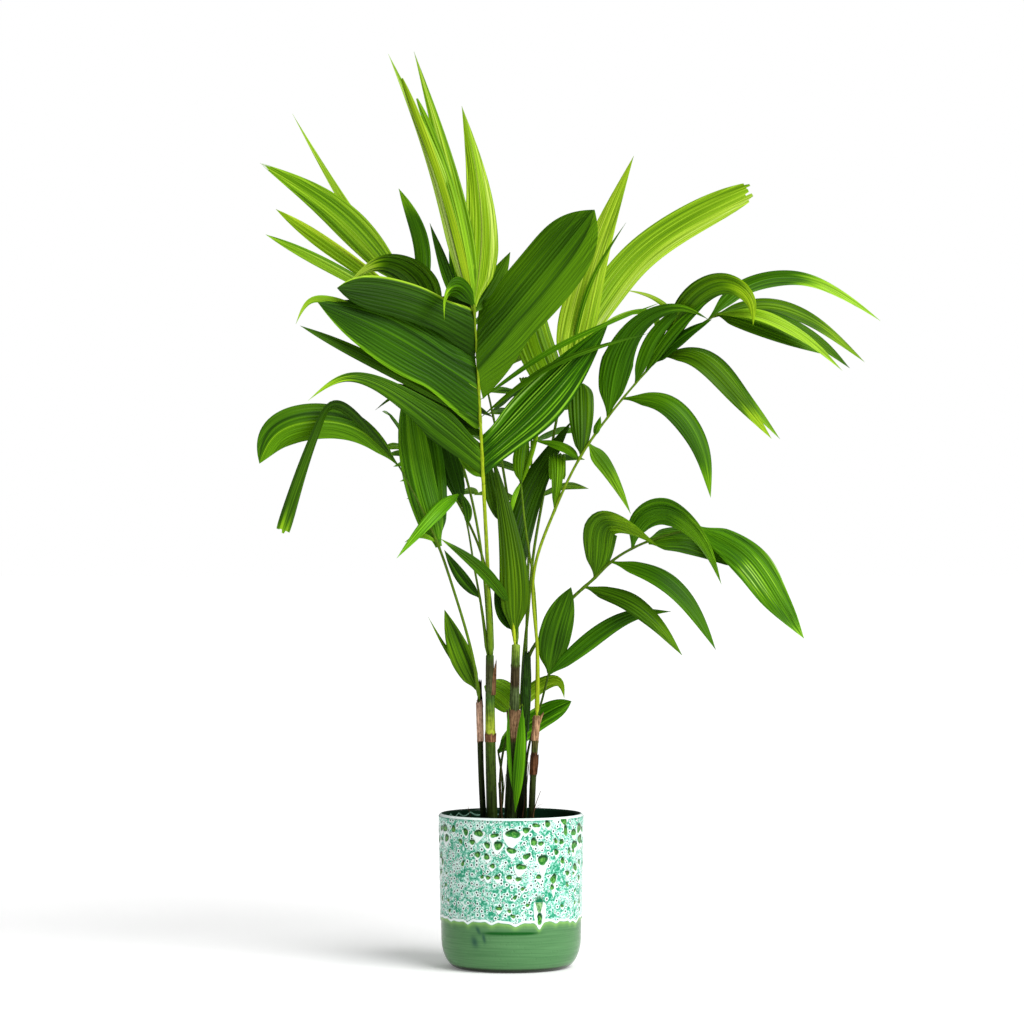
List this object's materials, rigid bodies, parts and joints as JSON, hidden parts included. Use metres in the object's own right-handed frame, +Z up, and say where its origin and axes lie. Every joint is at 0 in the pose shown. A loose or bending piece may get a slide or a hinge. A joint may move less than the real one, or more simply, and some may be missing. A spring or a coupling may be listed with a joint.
{
  "type": "potted wild areca palm",
  "caption": "Young areca palm with cane-like stems and broad pleated fronds, standing in a round ceramic pot with a mottled mint glaze.",
  "frame": {"origin": "centre of the pot's flat underside", "axes": "+Z up along the pot's axis, -Y towards the picture's camera, +X to the picture's right"},
  "size_m": [0.9874, 0.6232, 1.4286],
  "materials": {
    "glaze": "thick reactive mint glaze over a glossy green band",
    "compost": "moist fibrous potting compost",
    "cane": "satin green cane with brown sheaths",
    "stalk": "satin yellow-green leaf stalk",
    "leaf": "satin pleated leaf"
  },
  "bodies": {
    "root": {"pot": "glaze", "compost": "compost", "stem_left": "cane", "stem_thick": "cane", "stem_middle": "cane", "stem_right": "cane", "stem_back": "cane", "front_stalk": "stalk", "front_frond": "leaf", "upper_left_stalk": "stalk", "upper_left_frond": "leaf", "left_inner_stalk": "stalk", "left_inner_frond": "leaf", "left_low_stalk": "stalk", "left_low_frond": "leaf", "left_low_frond_end": "leaf", "low_left_stalk": "stalk", "low_left_frond": "leaf", "centre_stalk": "stalk", "centre_frond": "leaf", "right_high_stalk": "stalk", "right_high_frond": "leaf", "right_high_frond_end": "leaf", "right_inner_stalk": "stalk", "right_inner_frond": "leaf", "back_right_stalk": "stalk", "back_right_frond": "leaf", "right_mid_stalk": "stalk", "right_mid_frond": "leaf", "right_mid_frond_end": "leaf", "right_low_stalk": "stalk", "right_low_frond": "leaf", "low_back_stalk": "stalk", "low_back_frond": "leaf", "low_glossy_stalk": "stalk", "low_glossy_frond": "leaf", "low_front_stalk": "stalk", "low_front_frond": "leaf", "low_front_thin_stalk": "stalk", "low_front_thin_frond": "leaf", "back_left_stalk": "stalk", "back_left_frond": "leaf", "back_centre_stalk": "stalk", "back_centre_frond": "leaf", "back_far_stalk": "stalk", "back_far_frond": "leaf"}
  },
  "joints": []
}
